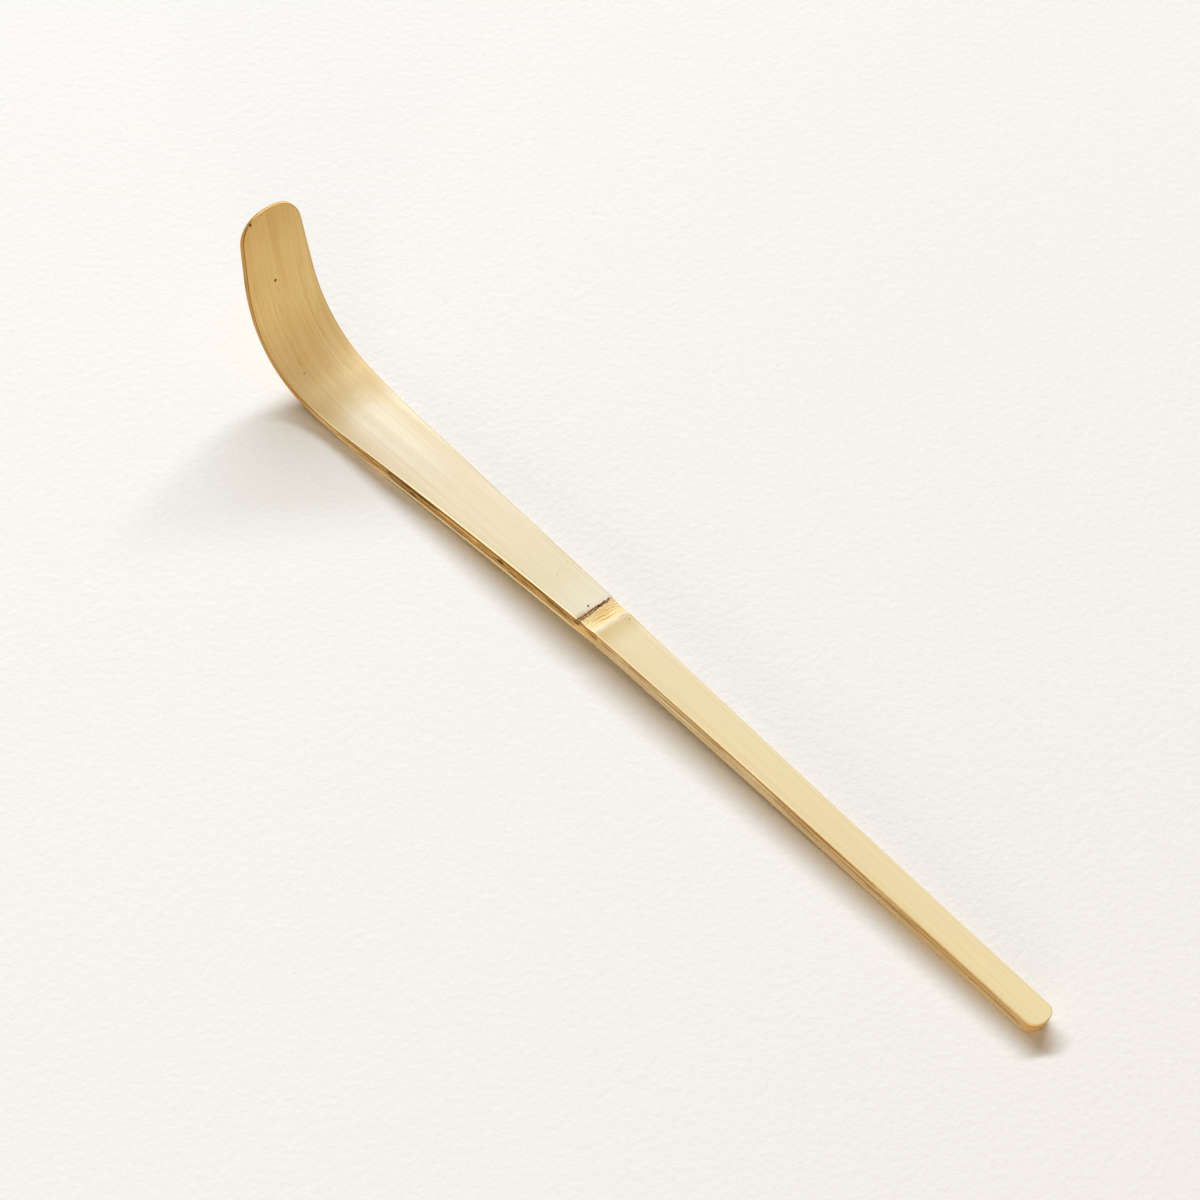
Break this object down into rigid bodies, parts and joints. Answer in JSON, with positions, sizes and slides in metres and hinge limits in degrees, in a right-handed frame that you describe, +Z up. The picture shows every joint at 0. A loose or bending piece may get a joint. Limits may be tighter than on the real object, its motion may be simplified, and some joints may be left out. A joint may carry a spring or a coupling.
{
  "type": "tea scoop",
  "caption": "Slim bamboo tea scoop: a tapering handle, a node near the middle and a flared shank bent up into a thin round-ended blade for lifting powdered tea.",
  "frame": {"origin": "bottom centre of the scoop's box, on the table that it rests on", "axes": "+X along the slip to the butt, +Z up; the blade rises at the -X end"},
  "size_m": [0.1788, 0.013, 0.0293],
  "materials": {
    "bamboo_skin": "smooth satin outer skin of pale bamboo",
    "sheath_scar": "dark rough corky line",
    "node_fibre": "matte yellow cross fibres",
    "node_ridge": "pale satin ridge",
    "culm_wall": "cut amber fibres, matte",
    "inner_layer": "soft pale inner layer, matte"
  },
  "bodies": {
    "root": {"scoop_skin": "bamboo_skin", "sheath_scar": "sheath_scar", "node_band": "node_fibre", "node_ridge": "node_ridge", "handle_skin": "bamboo_skin", "scoop_wall": "culm_wall", "node_core": "culm_wall", "handle_wall": "culm_wall", "scoop_inner_layer": "inner_layer", "handle_inner_layer": "inner_layer"}
  },
  "joints": []
}
